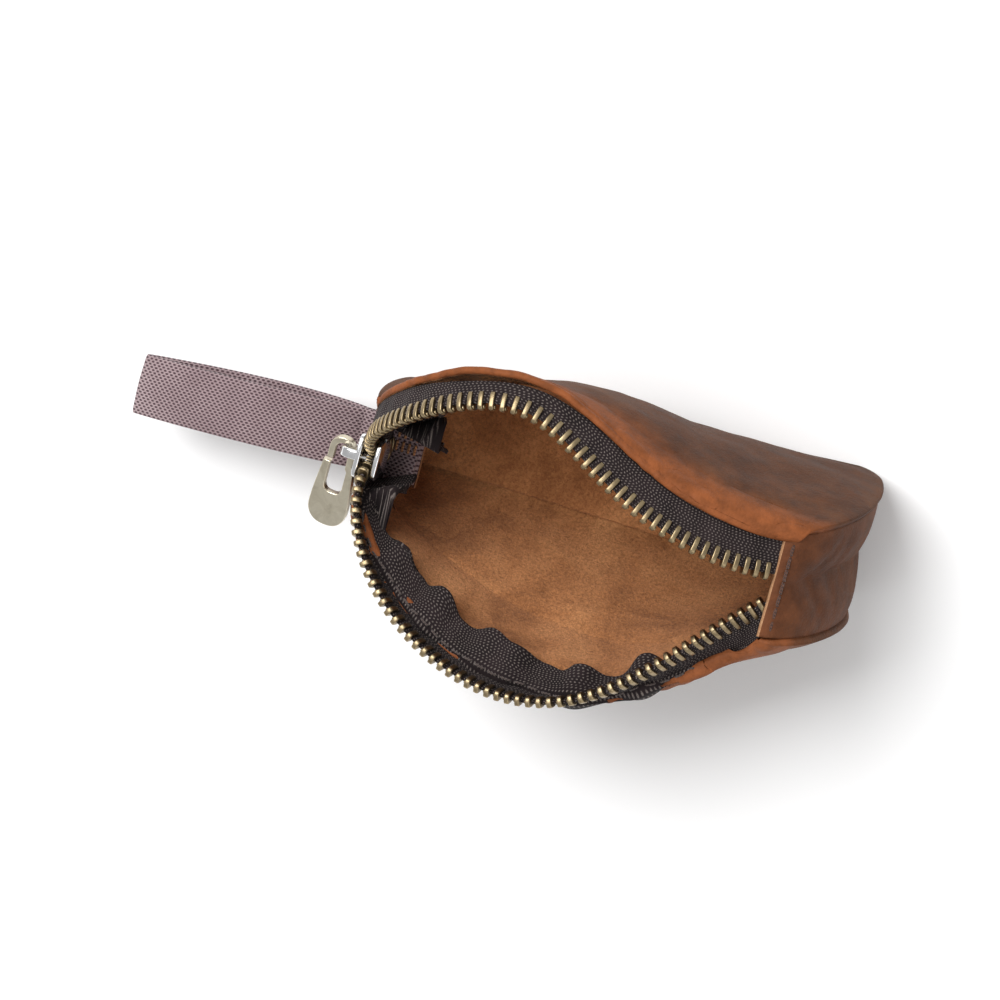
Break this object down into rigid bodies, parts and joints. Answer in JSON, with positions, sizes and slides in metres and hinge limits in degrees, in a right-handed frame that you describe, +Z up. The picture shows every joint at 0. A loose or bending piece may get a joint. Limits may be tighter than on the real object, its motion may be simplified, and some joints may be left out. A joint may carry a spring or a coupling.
{
  "type": "zippered pouch",
  "caption": "Open leather pouch with a boxed base, a metal-toothed zip with slider and hooked puller, and a folded webbing wrist loop.",
  "frame": {"origin": "centre of the bounding box in plan, on the plane the base rests on", "axes": "+X along the zip from the wrist loop to the raw-edged end, +Y towards the back panel, +Z up, out of the mouth"},
  "size_m": [0.1772, 0.0759, 0.0704],
  "materials": {
    "leather_back": "oiled pull-up leather, darker on this side",
    "leather_front": "oiled pull-up leather",
    "leather_strip": "oiled pull-up leather with raw tan edges",
    "zip_tape": "herringbone-woven polyester tape",
    "tape_cord": "woven edge cord",
    "zip_teeth": "antique brass, worn bright on the heads",
    "slider_metal": "bright nickel plate",
    "puller_metal": "satin champagne plate",
    "webbing": "basket-weave nylon webbing",
    "tack_thread": "twisted orange-brown thread",
    "end_thread": "twisted brown thread",
    "seam_thread": "twisted pinkish thread"
  },
  "bodies": {
    "pouch": {"back_panel": "leather_back", "front_panel": "leather_front", "gusset_strip": "leather_strip", "zip_tape_back": "zip_tape", "zip_tape_front": "zip_tape", "tape_cord_back": "tape_cord", "tape_cord_front": "tape_cord", "tape_cord_run": "tape_cord", "teeth_back": "zip_teeth", "teeth_front": "zip_teeth", "teeth_closed_run": "zip_teeth", "strap_anchor": "webbing", "strap_bar_tacks": "tack_thread", "end_stitches": "end_thread", "seam_stitches_back": "seam_thread", "seam_stitches_front": "seam_thread"},
    "slider": {"slider_body": "slider_metal", "slider_crown": "slider_metal"},
    "puller": {"puller": "puller_metal"},
    "strap": {"wrist_loop": "webbing"}
  },
  "joints": [
    {"name": "slider_slide", "type": "slide", "parent": "pouch", "child": "slider", "axis": [0, 0, 1], "range_m": [-0.004, 0], "deforming": ["teeth_closed_run", "tape_cord_run"]},
    {"name": "puller_swing", "type": "hinge", "parent": "slider", "child": "puller", "pos_m": [-0.03281, 0.0032, 0.0358], "axis": [0, 0, 1], "range_deg": [-160, 0]},
    {"name": "strap_bend", "type": "hinge", "parent": "pouch", "child": "strap", "pos_m": [-0.03301, 0.0032, 0.0191], "axis": [0, 1, 0], "range_deg": [-16, 30]}
  ]
}
